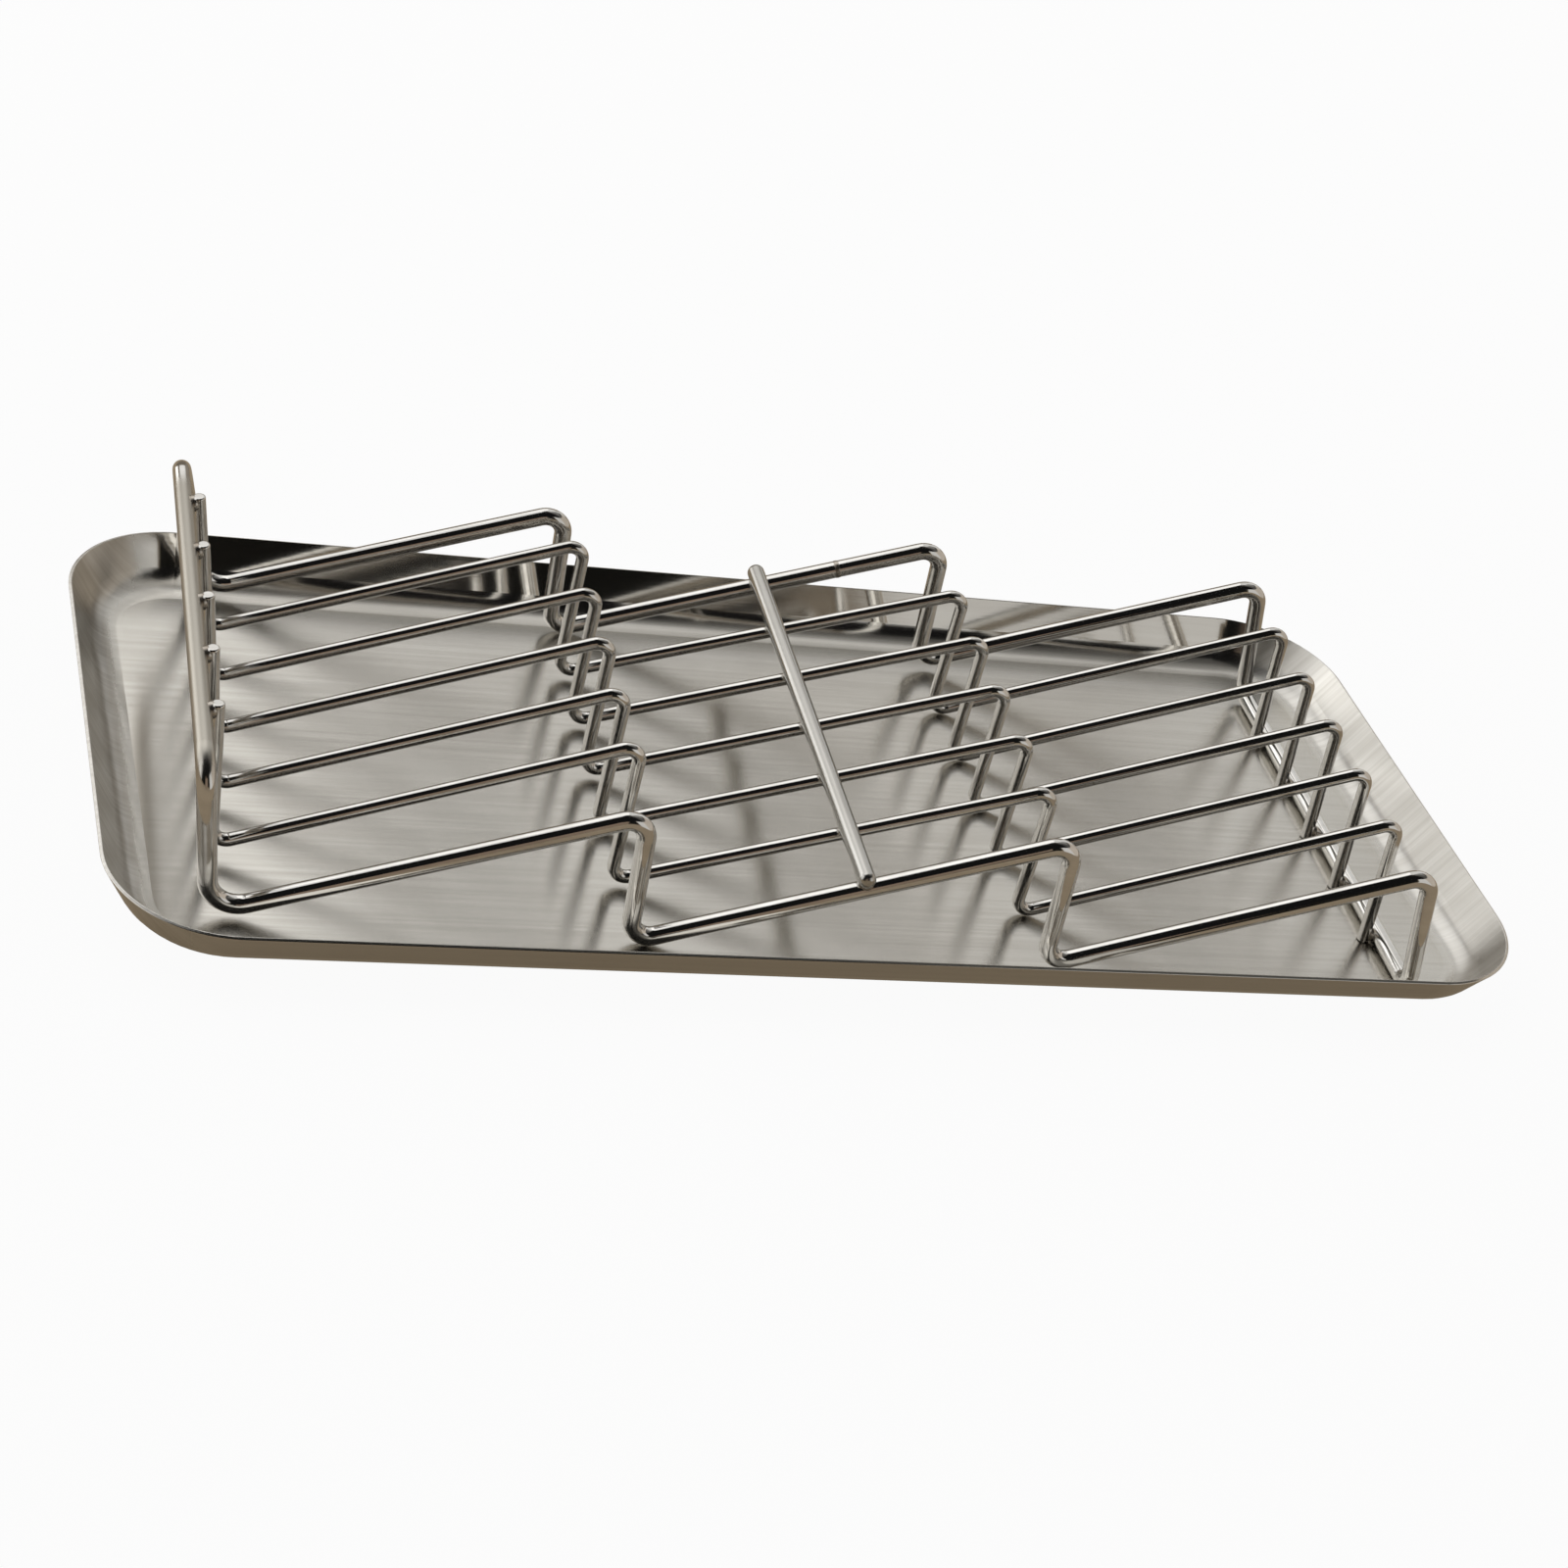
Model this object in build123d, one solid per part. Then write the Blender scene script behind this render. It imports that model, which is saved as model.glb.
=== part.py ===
from build123d import *
from math import asin, atan2, cos, hypot, radians, sin, tan
import os

os.makedirs("parts", exist_ok=True)

# Tray: one pressed sheet with a flat floor, flared walls and a plain rim
tray_length = 394.0
tray_width = 181.4
tray_height = 14.5
sheet = 1.0
wall_flare = 30.0  # degrees out from upright
floor_bend = 10.0  # inside radius between floor and wall
rim_corner = 32.0  # corner radius in plan, along the rim's outer edge
rim_round = 0.25

# Wire stock, with each bend measured on the wire's centre line
thick_wire = 5.0
thin_wire = 3.6
thin_count = 5
thick_bend = 5.4
heel_bend = 8.0  # thick wire, from the back rest into the first ramps
rest_bend = 8.0  # thick wire, at the two upper corners of the back rest
thin_bend = 3.8
tip_round = 0.6
dome_round = 2.0  # rounded ends of the top rod
thin_sink = 0.4  # how far a welded thin wire runs into a rod
thick_sink = 1.1  # how far a welded thick wire runs into a rod
weld_bead = 2.3
foot_bead = 2.0
seam_bead = 2.6

# Place of the loose rack in the tray
rack_turn = 2.5  # degrees clockwise, seen from above
rack_shift = 2.0  # towards the toe
rack_near = 0.8  # towards the near wall
floor_gap = 0.3
side_gap = 8.0  # thick wires' outer sides to the rim's inner edge, with the turned rack in the middle
end_gap = 32.7  # heel and foot rod to the rim's inner edge

# Zig-zag: lengths run from the heel of the far thick wire, heights from the tray floor,
# each to the crossing of centre lines
tread_1 = 99.3
tread_2 = 114.8
toe_splay = 8.3  # the last drop leans out by this much
thin_heel = 5.6
thin_drop = 2.6  # the nearer thin wires' heels stand lower, by up to this much
thin_peak_1 = 45.5
thin_peak_2 = 42.4
thin_peak_3 = 41.6
thin_lift = 1.0  # the thin wires' first valleys stand this far above the others
thin_lean = 1.4  # degrees that the thin wires' first two drops lean out
far_heel = 2.6
near_heel = 1.0
heel_skew = 5.7  # the heels stand further and further back, by this much at the near thick wire
thick_peak_set = 1.1  # thick peaks stand this far behind the thin ones
thick_peak_1 = 40.9
thick_peak_3 = 42.0
thick_lift = 1.6  # the thick wire's second valleys stand this far above the first
thick_lean = 4.5  # degrees that the thick wire's first two drops lean out

# Back rest and rods
rest_height = 44.3  # middle of the back rest rod, above the tray floor
rest_far = 11.3  # far end of the rod, behind the far heel
rest_near = 12.1  # near end of the rod, behind the far heel
tip_over = 2.2  # tips of the uprights stand this far past the middle of the rod
top_rod_set = 63.7  # top rod, up the second ramp from its valley
top_rod_over = 0.6  # top rod's ends, past the thick wires' outer sides
seam_set = 23.8  # butt weld that closes the frame, up the far ramp from the top rod

floor_top = sheet
wire_rest = floor_top + floor_gap
flare = radians(wall_flare)
rim = sheet / cos(flare)
turn = radians(rack_turn)
thin_slope = radians(thin_lean)
thick_slope = radians(thick_lean)

rack_run = tray_length - 2 * (rim + end_gap)
frame_reach = tray_width / 2 - rim - side_gap - thick_wire / 2
frame_half = (frame_reach - rack_run / 2 * sin(turn)) / cos(turn)
wire_pitch = 2 * frame_half / (thin_count + 1)
thin_places = [frame_half - wire_pitch * (k + 1) for k in range(thin_count)]

thin_joint = (thin_wire + thick_wire) / 2 - thin_sink
thick_joint = thick_wire - thick_sink
bead_reach = (thick_wire - thin_sink) / 2


def line_angle(start, start_reach, end, end_reach):
    """Angle of the straight run that passes start_reach below one point and end_reach below another."""
    dx = end[0] - start[0]
    dz = end[1] - start[1]
    return atan2(dz, dx) - asin((end_reach - start_reach) / hypot(dx, dz))


def offset_point(point, angle, along, above):
    """Point reached by going along a run at the given angle, then square to it on its left side."""
    x = point[0] + along * cos(angle) - above * sin(angle)
    z = point[1] + along * sin(angle) + above * cos(angle)
    return (x, z)


def near_share(y):
    """0 at the far thick wire, 1 at the near one."""
    return (frame_half - y) / (2 * frame_half)


def heel_place(y, height, drop):
    """Heel of the wire at the given depth."""
    sag = near_share(y) ** 2
    return (-heel_skew * sag, floor_top + height - drop * sag)


def rest_place(y):
    """Middle of the back rest rod at the given depth."""
    return (-rest_far - (rest_near - rest_far) * near_share(y), floor_top + rest_height)


def valley_centre(peak, slope, lift, wire, bend):
    """Centre of the bend at the foot of a drop that leans out by slope."""
    z = wire_rest + lift + wire / 2 + bend
    return (peak[0] + (peak[1] - z) * tan(slope) + bend / cos(slope), z)


def valley_corner(centre, slope, ramp, bend):
    """Crossing of the drop's and the next ramp's centre lines at a valley bend."""
    spread = bend / cos(slope - ramp)
    return (centre[0] - spread * (cos(ramp) - sin(slope)), centre[1] - spread * (cos(slope) + sin(ramp)))


def at_depth(points, y):
    return [(x, y, z) for x, z in points]


def bent_wire(points, wire, bend):
    """Round wire along straight runs joined by tangent bends."""
    path = FilletPolyline(*points, radius=bend)
    return sweep(Plane(path @ 0, z_dir=path % 0) * Circle(wire / 2), path)


def round_end(solid, point, radius):
    """Rounds the edge of the cut end that lies at the given point."""
    edge = solid.edges().filter_by(GeomType.CIRCLE).sort_by_distance(point)[0]
    return fillet(edge, radius)


def in_tray(shape):
    """Sets a rack piece, drawn from its heel, turned and standing in the tray."""
    return Pos(rack_shift, -rack_near, 0) * Rot(0, 0, -rack_turn) * Pos(-rack_run / 2, 0, 0) * shape


def write(node, shape):
    shape.label = node
    export_step(shape, f"parts/{node}.step")


def pan(length, width, corner, top, bottom, bend):
    """Solid dish with flared sides between two heights and a rounded lower edge."""
    outline = Pos(0, 0, top) * RectangleRounded(length, width, corner)
    solid = extrude(outline, top - bottom, dir=(0, 0, -1), taper=wall_flare)
    return fillet(solid.faces().sort_by(Axis.Z)[0].edges(), bend)


# Tray, its rim cut square to the flared sheet
rim_in = 2 * sheet * cos(flare)
rim_low = tray_height - sheet * sin(flare)
outside = pan(tray_length, tray_width, rim_corner, rim_low, 0.0, floor_bend + sheet)
inside_corner = rim_corner - sheet * cos(flare)
inside = pan(tray_length - rim_in, tray_width - rim_in, inside_corner, tray_height, floor_top, floor_bend)
edge = Pos(0, 0, rim_low) * RectangleRounded(tray_length, tray_width, rim_corner)
edge = extrude(edge, tray_height - rim_low, dir=(0, 0, 1), taper=90 - wall_flare)
tray = outside + edge - inside
tray = fillet(tray.edges().filter_by_position(Axis.Z, rim_low, tray_height), rim_round)
write("tray", tray)

# Thin wires: upright, three ramps and three drops, the last one down to the foot rod
drop_1 = tread_1
drop_2 = tread_1 + tread_2
drop_3 = rack_run - toe_splay
foot = (rack_run, wire_rest + thick_wire / 2)

peak_1 = (drop_1, floor_top + thin_peak_1)
peak_2 = (drop_2, floor_top + thin_peak_2)
peak_3 = (drop_3, floor_top + thin_peak_3)
centre_1 = valley_centre(peak_1, thin_slope, thin_lift, thin_wire, thin_bend)
centre_2 = valley_centre(peak_2, thin_slope, 0.0, thin_wire, thin_bend)
ramp_2 = line_angle(centre_1, thin_bend, peak_2, 0.0)
ramp_3 = line_angle(centre_2, thin_bend, peak_3, 0.0)
valley_1 = valley_corner(centre_1, thin_slope, ramp_2, thin_bend)
valley_2 = valley_corner(centre_2, thin_slope, ramp_3, thin_bend)
last_drop = line_angle(peak_3, 0.0, foot, thin_joint)
end_height = wire_rest + thin_wire / 2 * cos(last_drop)
end = offset_point(peak_3, last_drop, (end_height - peak_3[1]) / sin(last_drop), 0.0)

thin_line = [peak_1, valley_1, peak_2, valley_2, peak_3, end]
rest_points = []
for k, y in enumerate(thin_places):
    heel = heel_place(y, thin_heel, thin_drop)
    rest = rest_place(y)
    upright = line_angle(heel, 0.0, rest, thin_joint)
    rest_run = (rest[0] - heel[0]) * cos(upright) + (rest[1] - heel[1]) * sin(upright)
    tip = offset_point(heel, upright, rest_run + tip_over, 0.0)
    wire = bent_wire(at_depth([tip, heel, *thin_line], y), thin_wire, thin_bend)
    wire = round_end(wire, (tip[0], y, tip[1]), tip_round)
    write(f"wire_{k + 1}", in_tray(wire))
    rest_points += at_depth([offset_point(rest, upright, 0.0, -bead_reach)], y)

# Top rod: lies across the second ramps of all the wires
top_rod_place = offset_point(valley_1, ramp_2, top_rod_set, thin_joint)
top_rod_length = 2 * frame_half + thick_wire + 2 * top_rod_over
top_rod = Rot(90, 0, 0) * Cylinder(thick_wire / 2, top_rod_length)
top_rod = Pos(top_rod_place[0], 0, top_rod_place[1]) * top_rod
top_rod = fillet(top_rod.edges().filter_by(GeomType.CIRCLE), dome_round)
write("top_rod", in_tray(top_rod))

# Frame: one thick wire bent into a closed loop, drawn as two halves that meet in the middle
# of the back rest rod and in the middle of the foot rod
thick_1 = (drop_1 - thick_peak_set, floor_top + thick_peak_1)
thick_centre_1 = valley_centre(thick_1, thick_slope, 0.0, thick_wire, thick_bend)
thick_ramp_2 = line_angle(thick_centre_1, thick_bend, top_rod_place, thick_joint)
thick_valley_1 = valley_corner(thick_centre_1, thick_slope, thick_ramp_2, thick_bend)
thick_2_run = drop_2 - thick_peak_set - thick_valley_1[0]
thick_2 = offset_point(thick_valley_1, thick_ramp_2, thick_2_run / cos(thick_ramp_2), 0.0)
thick_3 = (drop_3, floor_top + thick_peak_3)
thick_centre_2 = valley_centre(thick_2, thick_slope, thick_lift, thick_wire, thick_bend)
thick_ramp_3 = line_angle(thick_centre_2, thick_bend, thick_3, 0.0)
thick_valley_2 = valley_corner(thick_centre_2, thick_slope, thick_ramp_3, thick_bend)
zigzag = [thick_1, thick_valley_1, thick_2, thick_valley_2, thick_3, foot]

bends = [rest_bend, heel_bend] + [thick_bend] * len(zigzag)
halves = []
for y, heel_height in ((-frame_half, near_heel), (frame_half, far_heel)):
    side = at_depth([rest_place(y), heel_place(y, heel_height, 0.0), *zigzag], y)
    points = at_depth([rest_place(0.0)], 0.0) + side + at_depth([foot], 0.0)
    halves.append(bent_wire(points, thick_wire, bends))
write("rack_frame", in_tray(halves[0] + halves[1]))

# Weld beads at each touching point, and the butt weld that closes the frame
thin_top_weld = offset_point(top_rod_place, ramp_2, 0.0, -bead_reach)
thick_top_weld = offset_point(top_rod_place, thick_ramp_2, 0.0, -bead_reach)
foot_weld = offset_point(foot, last_drop, 0.0, -bead_reach)
seam = offset_point(top_rod_place, thick_ramp_2, seam_set, -thick_joint)
top_points = at_depth([thick_top_weld], frame_half) + at_depth([thick_top_weld], -frame_half)
foot_points = []
for y in thin_places:
    top_points += at_depth([thin_top_weld], y)
    foot_points += at_depth([foot_weld], y)
for node, points, bead in (
    ("welds_back", rest_points, weld_bead),
    ("welds_top", top_points, weld_bead),
    ("welds_foot", foot_points, foot_bead),
    ("weld_seam", at_depth([seam], frame_half), seam_bead),
):
    write(node, Compound(children=[in_tray(Pos(*point) * Sphere(bead)) for point in points]))
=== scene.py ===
import bmesh
import bpy
from math import radians
from mathutils import Matrix, Vector

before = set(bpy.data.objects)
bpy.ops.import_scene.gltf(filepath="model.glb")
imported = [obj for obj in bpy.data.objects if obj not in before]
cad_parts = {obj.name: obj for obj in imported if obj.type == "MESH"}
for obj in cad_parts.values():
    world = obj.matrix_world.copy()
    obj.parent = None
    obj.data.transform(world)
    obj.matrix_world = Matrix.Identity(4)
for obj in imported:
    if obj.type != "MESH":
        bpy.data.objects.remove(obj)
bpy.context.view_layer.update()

# Tray. One pressed stainless sheet, 1 mm thick, with a flat floor and flared walls.
# The sheet was brushed along its length before pressing, so the grain runs from end to end.
# Pressing rubbed the long walls brighter and left the end walls and corners streaked and hazy.
sheet_dark = (0.575, 0.552, 0.508, 1.0)
sheet_light = (0.655, 0.636, 0.592, 1.0)
sheet_gloss = 0.20
sheet_haze = 0.26
sheet_lines = (12.0, 1700.0, 0.0)
sheet_marks = 18.0
sheet_depth = 0.00002
scratch_starts = 0.32
scratch_full = 0.68
mark_starts = 0.38
mark_full = 0.66
mark_share = 0.4
brush_pull = 0.8
brush_turn = 0.25
wall_gloss = 0.42
wall_steep = 0.62
wall_level = 0.97
pull_dark = (0.56, 0.54, 0.50, 1.0)
pull_light = (0.73, 0.715, 0.68, 1.0)
pull_haze = 0.33
pull_lines = (40.0, 1500.0, 0.0)
pull_starts = 0.06
pull_full = 0.42
pull_most = 0.85


def value_group(name, inputs, outputs):
    """Empty shader group with the named sockets, and its inner ends."""
    group = bpy.data.node_groups.new(name, "ShaderNodeTree")
    for label, kind, value in inputs:
        socket = group.interface.new_socket(label, in_out="INPUT", socket_type=kind)
        socket.default_value = value
    for label in outputs:
        group.interface.new_socket(label, in_out="OUTPUT", socket_type="NodeSocketFloat")
    return group, group.nodes.new("NodeGroupInput"), group.nodes.new("NodeGroupOutput")


def add_node(tree, kind, **settings):
    """New node with its settings, and its unlinked sockets by name."""
    node = tree.nodes.new(kind)
    for key, value in settings.items():
        if key in node.inputs:
            node.inputs[key].default_value = value
        else:
            setattr(node, key, value)
    return node


def feed(tree, socket, value):
    """Link a source to the socket, or set a fixed value on it."""
    if isinstance(value, bpy.types.NodeSocket):
        tree.links.new(value, socket)
    else:
        socket.default_value = value


def ramp(tree, source, start, end, low=0.0, high=1.0, shape="SMOOTHSTEP"):
    """Value that runs from low to high while the source runs from start to end."""
    node = add_node(tree, "ShaderNodeMapRange", interpolation_type=shape)
    for label, value in (("From Min", start), ("From Max", end), ("To Min", low), ("To Max", high)):
        node.inputs[label].default_value = value
    tree.links.new(source, node.inputs["Value"])
    return node.outputs["Result"]


def reckon(tree, operation, first, second=0.0):
    """One sum on a source and a second source or number."""
    node = add_node(tree, "ShaderNodeMath", operation=operation)
    feed(tree, node.inputs[0], first)
    feed(tree, node.inputs[1], second)
    return node.outputs["Value"]


def mix_tones(tree, share, first, second):
    """Colour between two colours."""
    node = add_node(tree, "ShaderNodeMix", data_type="RGBA")
    feed(tree, node.inputs[0], share)
    feed(tree, node.inputs[6], first)
    feed(tree, node.inputs[7], second)
    return node.outputs[2]


def mix_values(tree, share, first, second):
    """Number between two numbers."""
    node = add_node(tree, "ShaderNodeMix", data_type="FLOAT")
    feed(tree, node.inputs[0], share)
    feed(tree, node.inputs[2], first)
    feed(tree, node.inputs[3], second)
    return node.outputs[0]


# Long fine scratches that a belt leaves: slow along the run, fast across it.
grain, grain_in, grain_out = value_group(
    "belt_grain",
    [("Vector", "NodeSocketVector", (0.0, 0.0, 0.0)), ("Density", "NodeSocketVector", (16.0, 1500.0, 0.0))],
    ["Tone", "Height"],
)
spread = add_node(grain, "ShaderNodeVectorMath", operation="MULTIPLY")
grain.links.new(grain_in.outputs["Vector"], spread.inputs[0])
grain.links.new(grain_in.outputs["Density"], spread.inputs[1])
coarse = add_node(grain, "ShaderNodeTexNoise", Scale=0.35, Detail=4.0, Roughness=0.65)
fine = add_node(grain, "ShaderNodeTexNoise", Scale=1.6, Detail=2.0, Roughness=0.5)
grain.links.new(spread.outputs["Vector"], coarse.inputs["Vector"])
grain.links.new(spread.outputs["Vector"], fine.inputs["Vector"])
scratch = ramp(grain, coarse.outputs["Fac"], scratch_starts, scratch_full, shape="LINEAR")
grain.links.new(scratch, grain_out.inputs["Tone"])
grain.links.new(fine.outputs["Fac"], grain_out.inputs["Height"])

# Soft cloudy marks from hands, washing and wiping.
marks, marks_in, marks_out = value_group(
    "handling_marks",
    [("Vector", "NodeSocketVector", (0.0, 0.0, 0.0)), ("Scale", "NodeSocketFloat", 20.0)],
    ["Mask"],
)
cloud = add_node(marks, "ShaderNodeTexNoise", Detail=5.0, Roughness=0.6, Distortion=0.4)
marks.links.new(marks_in.outputs["Vector"], cloud.inputs["Vector"])
marks.links.new(marks_in.outputs["Scale"], cloud.inputs["Scale"])
patch = ramp(marks, cloud.outputs["Fac"], mark_starts, mark_full)
marks.links.new(patch, marks_out.inputs["Mask"])


def steel(name, dark, light, gloss, haze, lines, mark_scale, depth):
    """Steel whose tone, gloss and height follow the grain and the marks."""
    material = bpy.data.materials.new(name)
    material.use_nodes = True
    tree = material.node_tree
    bsdf = tree.nodes["Principled BSDF"]
    bsdf.inputs["Metallic"].default_value = 1.0
    place = tree.nodes.new("ShaderNodeTexCoord")
    lined = add_node(tree, "ShaderNodeGroup", node_tree=grain, Density=lines)
    marked = add_node(tree, "ShaderNodeGroup", node_tree=marks, Scale=mark_scale)
    tree.links.new(place.outputs["Object"], lined.inputs["Vector"])
    tree.links.new(place.outputs["Object"], marked.inputs["Vector"])

    wear = mix_values(tree, mark_share, lined.outputs["Tone"], marked.outputs["Mask"])
    colour = mix_tones(tree, wear, light, dark)
    colour.node.name = "colour"
    tree.links.new(colour, bsdf.inputs["Base Color"])
    finish = ramp(tree, wear, 0.0, 1.0, gloss, haze, shape="LINEAR")
    finish.node.name = "finish"
    tree.links.new(finish, bsdf.inputs["Roughness"])

    bump = add_node(tree, "ShaderNodeBump", Strength=0.35, Distance=depth)
    tree.links.new(lined.outputs["Height"], bump.inputs["Height"])
    tree.links.new(bump.outputs["Normal"], bsdf.inputs["Normal"])
    return material


def dress(node, material):
    """Give the piece this one material."""
    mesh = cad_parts[node].data
    mesh.materials.clear()
    mesh.materials.append(material)


sheet_steel = steel(
    "brushed_sheet", sheet_dark, sheet_light, sheet_gloss, sheet_haze, sheet_lines, sheet_marks, sheet_depth
)
sheet_nodes = sheet_steel.node_tree
sheet_bsdf = sheet_nodes.nodes["Principled BSDF"]
sheet_bsdf.inputs["Anisotropic"].default_value = brush_pull
sheet_bsdf.inputs["Anisotropic Rotation"].default_value = brush_turn
brush_run = add_node(sheet_nodes, "ShaderNodeCombineXYZ", X=1.0)
sheet_nodes.links.new(brush_run.outputs["Vector"], sheet_bsdf.inputs["Tangent"])

# On the walls, where the sheet no longer lies level, the finish is closer to a mirror.
sheet_place = sheet_nodes.nodes.new("ShaderNodeNewGeometry")
facing = sheet_nodes.nodes.new("ShaderNodeSeparateXYZ")
sheet_nodes.links.new(sheet_place.outputs["Normal"], facing.inputs["Vector"])
level = ramp(sheet_nodes, facing.outputs["Z"], wall_steep, wall_level, wall_gloss, 1.0)
rubbed = reckon(sheet_nodes, "MULTIPLY", sheet_nodes.nodes["finish"].outputs["Result"], level)

# Up the end walls and round the corners the pull of the press opened the grain into coarser streaks.
pull_place = sheet_nodes.nodes.new("ShaderNodeTexCoord")
streaks = add_node(sheet_nodes, "ShaderNodeGroup", node_tree=grain, Density=pull_lines)
sheet_nodes.links.new(pull_place.outputs["Object"], streaks.inputs["Vector"])
end_wall = reckon(sheet_nodes, "ABSOLUTE", facing.outputs["X"])
pulled = ramp(sheet_nodes, end_wall, pull_starts, pull_full, 0.0, pull_most)
pull_tone = mix_tones(sheet_nodes, streaks.outputs["Tone"], pull_light, pull_dark)
sheet_tone = mix_tones(sheet_nodes, pulled, sheet_nodes.nodes["colour"].outputs[2], pull_tone)
sheet_nodes.links.new(sheet_tone, sheet_bsdf.inputs["Base Color"])
sheet_finish = mix_values(sheet_nodes, pulled, rubbed, pull_haze)
sheet_nodes.links.new(sheet_finish, sheet_bsdf.inputs["Roughness"])

dress("tray", sheet_steel)

# Frame of the rack. One 5 mm stainless wire bent into a closed loop: back rest rod, two zig-zag sides and
# foot rod, closed by one butt weld. It stands loose in the tray.
# It is polished all along except the back rest rod, which is left dull.
thick_dark = (0.60, 0.585, 0.555, 1.0)
thick_light = (0.74, 0.725, 0.70, 1.0)
thick_gloss = 0.06
thick_haze = 0.12
thick_lines = (60.0, 900.0, 900.0)
thick_marks = 45.0
thick_depth = 0.000006
rest_dull_tone = (0.46, 0.435, 0.385, 1.0)
rest_dull_haze = 0.36
rest_foot = 0.0405
rest_top = 0.0430
rest_front = -0.16
rest_bend = 0.068
rest_run = 0.060

thick_steel = steel(
    "polished_thick_wire", thick_dark, thick_light, thick_gloss, thick_haze, thick_lines, thick_marks, thick_depth
)
dress("rack_frame", thick_steel)

# The dull stretch: behind the uprights, above the bends and between them.
thick_nodes = thick_steel.node_tree
thick_bsdf = thick_nodes.nodes["Principled BSDF"]
rest_place = thick_nodes.nodes.new("ShaderNodeTexCoord")
rest_axes = thick_nodes.nodes.new("ShaderNodeSeparateXYZ")
thick_nodes.links.new(rest_place.outputs["Object"], rest_axes.inputs["Vector"])
rest_high = ramp(thick_nodes, rest_axes.outputs["Z"], rest_foot, rest_top)
rest_back = reckon(thick_nodes, "LESS_THAN", rest_axes.outputs["X"], rest_front)
rest_side = reckon(thick_nodes, "ABSOLUTE", rest_axes.outputs["Y"])
rest_straight = ramp(thick_nodes, rest_side, rest_bend, rest_run)
rest_rod = reckon(thick_nodes, "MULTIPLY", rest_high, rest_back)
rest_dull = reckon(thick_nodes, "MULTIPLY", rest_rod, rest_straight)
thick_tone = mix_tones(thick_nodes, rest_dull, thick_nodes.nodes["colour"].outputs[2], rest_dull_tone)
thick_nodes.links.new(thick_tone, thick_bsdf.inputs["Base Color"])
thick_finish = mix_values(thick_nodes, rest_dull, thick_nodes.nodes["finish"].outputs["Result"], rest_dull_haze)
thick_nodes.links.new(thick_finish, thick_bsdf.inputs["Roughness"])

# Five thin zig-zag wires. Each is one 3.6 mm stainless wire, bent to the frame's steps and polished like it,
# and welded to the back rest rod, the top rod and the foot rod.
thin_dark = (0.58, 0.565, 0.535, 1.0)
thin_light = (0.72, 0.705, 0.68, 1.0)
thin_gloss = 0.06
thin_haze = 0.12
thin_lines = (60.0, 1100.0, 1100.0)
thin_marks = 55.0
thin_depth = 0.000006
thin_steel = steel(
    "polished_thin_wire", thin_dark, thin_light, thin_gloss, thin_haze, thin_lines, thin_marks, thin_depth
)
for k in range(1, 6):
    dress(f"wire_{k}", thin_steel)

# Top rod. A straight 5 mm stainless rod with a satin finish, laid across all seven wires on the second ramp
# and welded to each.
rod_dark = (0.47, 0.457, 0.426, 1.0)
rod_light = (0.50, 0.488, 0.465, 1.0)
rod_gloss = 0.16
rod_haze = 0.28
rod_lines = (900.0, 60.0, 900.0)
rod_marks = 40.0
rod_depth = 0.00001
rod_steel = steel("satin_rod", rod_dark, rod_light, rod_gloss, rod_haze, rod_lines, rod_marks, rod_depth)
dress("top_rod", rod_steel)

# Weld beads. Small bare beads that hold the wires to the rods and close the frame.
# They are left as welded, duller and browner than the wire from the heat.
bead_dark = (0.30, 0.255, 0.205, 1.0)
bead_light = (0.56, 0.53, 0.48, 1.0)
bead_gloss = 0.22
bead_haze = 0.42
bead_lines = (700.0, 700.0, 700.0)
bead_marks = 260.0
bead_depth = 0.00008
bead_steel = steel("weld_bead", bead_dark, bead_light, bead_gloss, bead_haze, bead_lines, bead_marks, bead_depth)
for beads in ("welds_back", "welds_top", "welds_foot", "weld_seam"):
    dress(beads, bead_steel)

# Stage. A white paper floor under soft light, with a tan table top that only mirrors see.
# Curved cards stand round the object for the room that the polished steel mirrors.
paper_tint = (0.85, 0.85, 0.85, 1.0)
paper_glow = (1.0, 1.0, 1.0, 1.0)
paper_share = 0.95
floor_reach = 6.0
floor_height = -0.0003
matte_haze = 0.9


def disc(name, reach, height, paint):
    """Round flat sheet under the object."""
    mesh = bpy.data.meshes.new(name)
    sheet = bmesh.new()
    bmesh.ops.create_circle(sheet, cap_ends=True, radius=reach, segments=96)
    bmesh.ops.translate(sheet, verts=sheet.verts, vec=(0.0, 0.0, height))
    sheet.to_mesh(mesh)
    sheet.free()
    mesh.materials.append(paint)
    obj = bpy.data.objects.new(name, mesh)
    bpy.context.scene.collection.objects.link(obj)
    return obj


def matte(name, tint):
    """Dull paint without a highlight, and its shader."""
    paint = bpy.data.materials.new(name)
    paint.use_nodes = True
    bsdf = paint.node_tree.nodes["Principled BSDF"]
    bsdf.inputs["Base Color"].default_value = tint
    bsdf.inputs["Roughness"].default_value = matte_haze
    bsdf.inputs["Specular IOR Level"].default_value = 0.0
    return paint, bsdf


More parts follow.
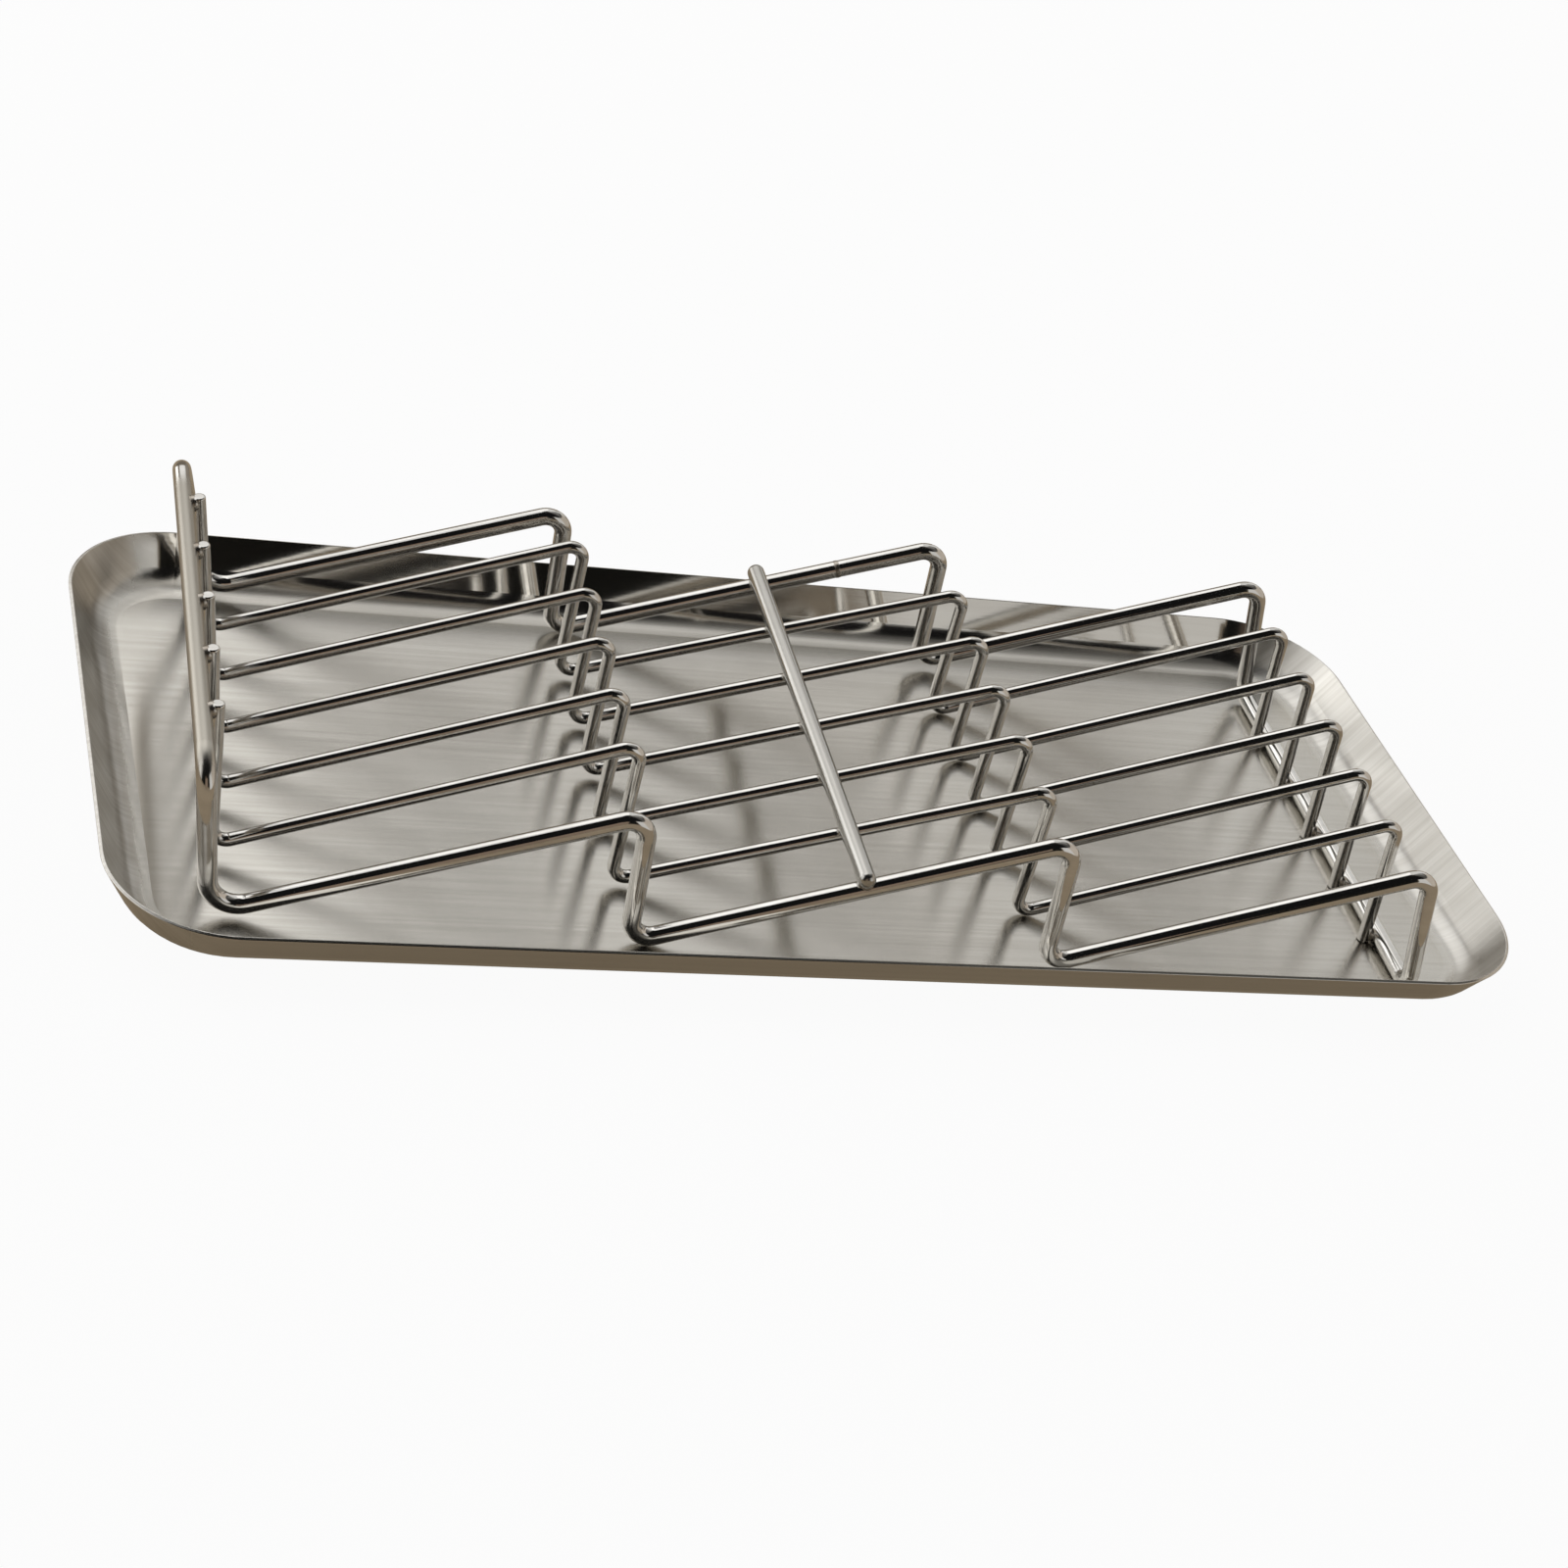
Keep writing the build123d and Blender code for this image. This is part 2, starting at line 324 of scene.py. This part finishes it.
# The floor is lit paper with a shadow, and nearly plain white where it is seen or mirrored.
paper, paper_bsdf = matte("white_paper", paper_tint)
paper_nodes = paper.node_tree
rays = paper_nodes.nodes.new("ShaderNodeLightPath")
glow = add_node(paper_nodes, "ShaderNodeEmission", Color=paper_glow, Strength=1.0)
shown = reckon(paper_nodes, "MAXIMUM", rays.outputs["Is Camera Ray"], rays.outputs["Is Glossy Ray"])
passed = reckon(paper_nodes, "MAXIMUM", shown, rays.outputs["Is Transmission Ray"])
share = reckon(paper_nodes, "MULTIPLY", passed, paper_share)
bright = paper_nodes.nodes.new("ShaderNodeMixShader")
paper_nodes.links.new(share, bright.inputs[0])
paper_nodes.links.new(paper_bsdf.outputs["BSDF"], bright.inputs[1])
paper_nodes.links.new(glow.outputs["Emission"], bright.inputs[2])
paper_nodes.links.new(bright.outputs["Shader"], paper_nodes.nodes["Material Output"].inputs["Surface"])
floor = disc("studio_floor", floor_reach, floor_height, paper)

card_reach = 2.4
black = (0.008, 0.008, 0.008, 1.0)
warm_black = (0.008, 0.008, 0.007, 1.0)


def card(name, turn_from, turn_to, low, high, tint):
    """Curved card round the object. Turns run right from straight in front, angles up from level, in degrees."""
    mesh = bpy.data.meshes.new(name)
    sheet = bmesh.new()
    middle = (0.0, 0.0, 0.0)
    start = sheet.verts.new((0.0, -card_reach, 0.0))
    bmesh.ops.rotate(sheet, verts=[start], cent=middle, matrix=Matrix.Rotation(radians(-low), 3, "X"))
    bmesh.ops.spin(
        sheet, geom=[start], cent=middle, axis=(1, 0, 0), dvec=middle, angle=-radians(high - low), steps=16,
        use_merge=False, use_duplicate=False,
    )
    edge = sheet.verts[:] + sheet.edges[:]
    bmesh.ops.rotate(sheet, verts=sheet.verts, cent=middle, matrix=Matrix.Rotation(radians(turn_from), 3, "Z"))
    bmesh.ops.spin(
        sheet, geom=edge, cent=middle, axis=(0, 0, 1), dvec=middle, angle=radians(turn_to - turn_from), steps=24,
        use_merge=False, use_duplicate=False,
    )
    sheet.to_mesh(mesh)
    sheet.free()
    paint = bpy.data.materials.new(name)
    paint.use_nodes = True
    coat = add_node(paint.node_tree, "ShaderNodeEmission", Color=tint, Strength=1.0)
    paint.node_tree.links.new(coat.outputs["Emission"], paint.node_tree.nodes["Material Output"].inputs["Surface"])
    mesh.materials.append(paint)
    obj = bpy.data.objects.new(name, mesh)
    obj.visible_camera = False
    bpy.context.scene.collection.objects.link(obj)


# Overhead and high up in front, where the room was dark.
card("dark_card_top", -180.0, 60.0, 76.0, 89.8, black)
card("grey_card_top", 60.0, 180.0, 76.0, 89.8, (0.06, 0.056, 0.05, 1.0))
card("dark_card_left", -72.0, -34.0, 36.0, 76.0, black)
card("dark_card_far_left", -105.0, -72.0, 50.0, 76.0, black)
card("dark_card_high", -34.0, 60.0, 36.0, 76.0, black)
card("dim_card_right", 60.0, 95.0, 36.0, 76.0, (0.10, 0.097, 0.092, 1.0))
card("grey_card_right", 95.0, 128.0, 45.0, 76.0, (0.28, 0.275, 0.265, 1.0))
card("dim_card_side", 95.0, 125.0, 36.0, 45.0, (0.10, 0.095, 0.09, 1.0))

# Low down in front and at the sides: black, with a brown patch that the ramps show.
card("grey_card_left", -72.0, -60.0, 6.0, 36.0, (0.55, 0.54, 0.52, 1.0))
card("white_card_side", -106.0, -72.0, 6.0, 50.0, (1.10, 1.09, 1.07, 1.0))
card("dark_card_side", -60.0, -22.0, 6.0, 36.0, warm_black)
card("brown_card_front", -22.0, 4.0, 6.0, 29.0, (0.25, 0.185, 0.14, 1.0))
card("dark_card_brow", -22.0, 4.0, 29.0, 36.0, (0.01, 0.008, 0.007, 1.0))
card("dark_card_low", 4.0, 23.5, 6.0, 36.0, warm_black)
card("tan_card_low", -110.0, 26.0, -1.0, 6.0, (0.25, 0.20, 0.14, 1.0))
card("tan_card_edge", 23.5, 26.0, 6.0, 36.0, (0.20, 0.165, 0.125, 1.0))
card("grey_card_side", 26.0, 55.0, -1.0, 36.0, (0.72, 0.71, 0.69, 1.0))
card("brown_card_side", 55.0, 125.0, -1.0, 36.0, (0.58, 0.52, 0.45, 1.0))

# Behind the object, where the room was bright and the tray floor mirrors it.
card("grey_card_back", 125.0, 148.0, 6.0, 40.0, (0.78, 0.775, 0.76, 1.0))
card("brown_card_low", 125.0, 163.0, -1.0, 6.0, (0.22, 0.19, 0.155, 1.0))
card("brown_card_back", 148.0, 163.0, 6.0, 20.0, (0.30, 0.265, 0.22, 1.0))
card("dim_card_back", 148.0, 163.0, 20.0, 28.0, (0.32, 0.29, 0.25, 1.0))
card("grey_card_high", 148.0, 163.0, 28.0, 40.0, (0.94, 0.935, 0.92, 1.0))
card("grey_card_over", 128.0, 168.0, 40.0, 76.0, (0.84, 0.835, 0.82, 1.0))
card("pale_card_back", 163.0, 170.0, 24.0, 40.0, (0.92, 0.915, 0.90, 1.0))
card("white_card_back", 170.0, 207.0, 24.0, 40.0, (1.06, 1.05, 1.03, 1.0))
card("white_card_over", 168.0, 226.0, 40.0, 72.0, (1.45, 1.44, 1.42, 1.0))
card("brown_card_foot", 163.0, 207.0, -1.0, 24.0, (0.20, 0.17, 0.135, 1.0))
card("white_card_left", 207.0, 248.0, -1.0, 32.0, (1.75, 1.74, 1.71, 1.0))

# The table top the tray stood on: mirrors see it, the camera and the light do not.
bench_tint = (0.30, 0.24, 0.17, 1.0)
# The bench also glows: painted light that keeps the mirrored table bright under the tray's overhang, where it lies
# in the tray's shade.
bench_glow = (0.165, 0.137, 0.10, 1.0)
bench_reach = 2.3
bench_height = -0.0002
bench_paint, bench_bsdf = matte("tan_bench_card", bench_tint)
bench_bsdf.inputs["Emission Color"].default_value = bench_glow
bench_bsdf.inputs["Emission Strength"].default_value = 1.0
bench = disc("tan_bench_card", bench_reach, bench_height, bench_paint)
bench.visible_camera = False
bench.visible_diffuse = False
bench.visible_shadow = False

# One soft window behind and to the left, and a white room.
window_turn = 202.0
window_rise = 57.0
window_reach = 2.3
window_tilt = 270.0
window = bpy.data.objects.new("window", bpy.data.lights.new("window", "AREA"))
window.data.shape = "RECTANGLE"
window.data.size = 1.4
window.data.size_y = 0.9
window.data.energy = 10.0
window.matrix_world = (
    Matrix.Rotation(radians(window_turn), 4, "Z")
    @ Matrix.Rotation(radians(-window_rise), 4, "X")
    @ Matrix.Translation((0.0, -window_reach, 0.0))
    @ Matrix.Rotation(radians(window_tilt), 4, "X")
)
bpy.context.scene.collection.objects.link(window)

world = bpy.data.worlds.new("studio")
bpy.context.scene.world = world
world.use_nodes = True
world.node_tree.nodes["Background"].inputs["Color"].default_value = (1.0, 1.0, 1.0, 1.0)
world.node_tree.nodes["Background"].inputs["Strength"].default_value = 1.0

# Camera. It stands to the front left and above, with a long lens, rolled as the picture is.
# Its place and turn were fitted to points of the object that the picture shows.
camera_place = (-0.2936, -0.65176, 0.47043)
camera_lens = 69.87
look = Vector((0.3412, 0.7643, -0.5472)).normalized()
right = Vector((0.9384, -0.2433, 0.2454))
right = (right - look * right.dot(look)).normalized()
up = right.cross(look)
camera = bpy.data.objects.new("camera", bpy.data.cameras.new("camera"))
camera.data.sensor_width = 36.0
camera.data.lens = camera_lens
camera.data.clip_end = 50.0
camera.matrix_world = Matrix.Translation(camera_place) @ Matrix((right, up, -look)).transposed().to_4x4()
bpy.context.scene.collection.objects.link(camera)
bpy.context.scene.camera = camera
bpy.context.scene.view_settings.view_transform = "Standard"
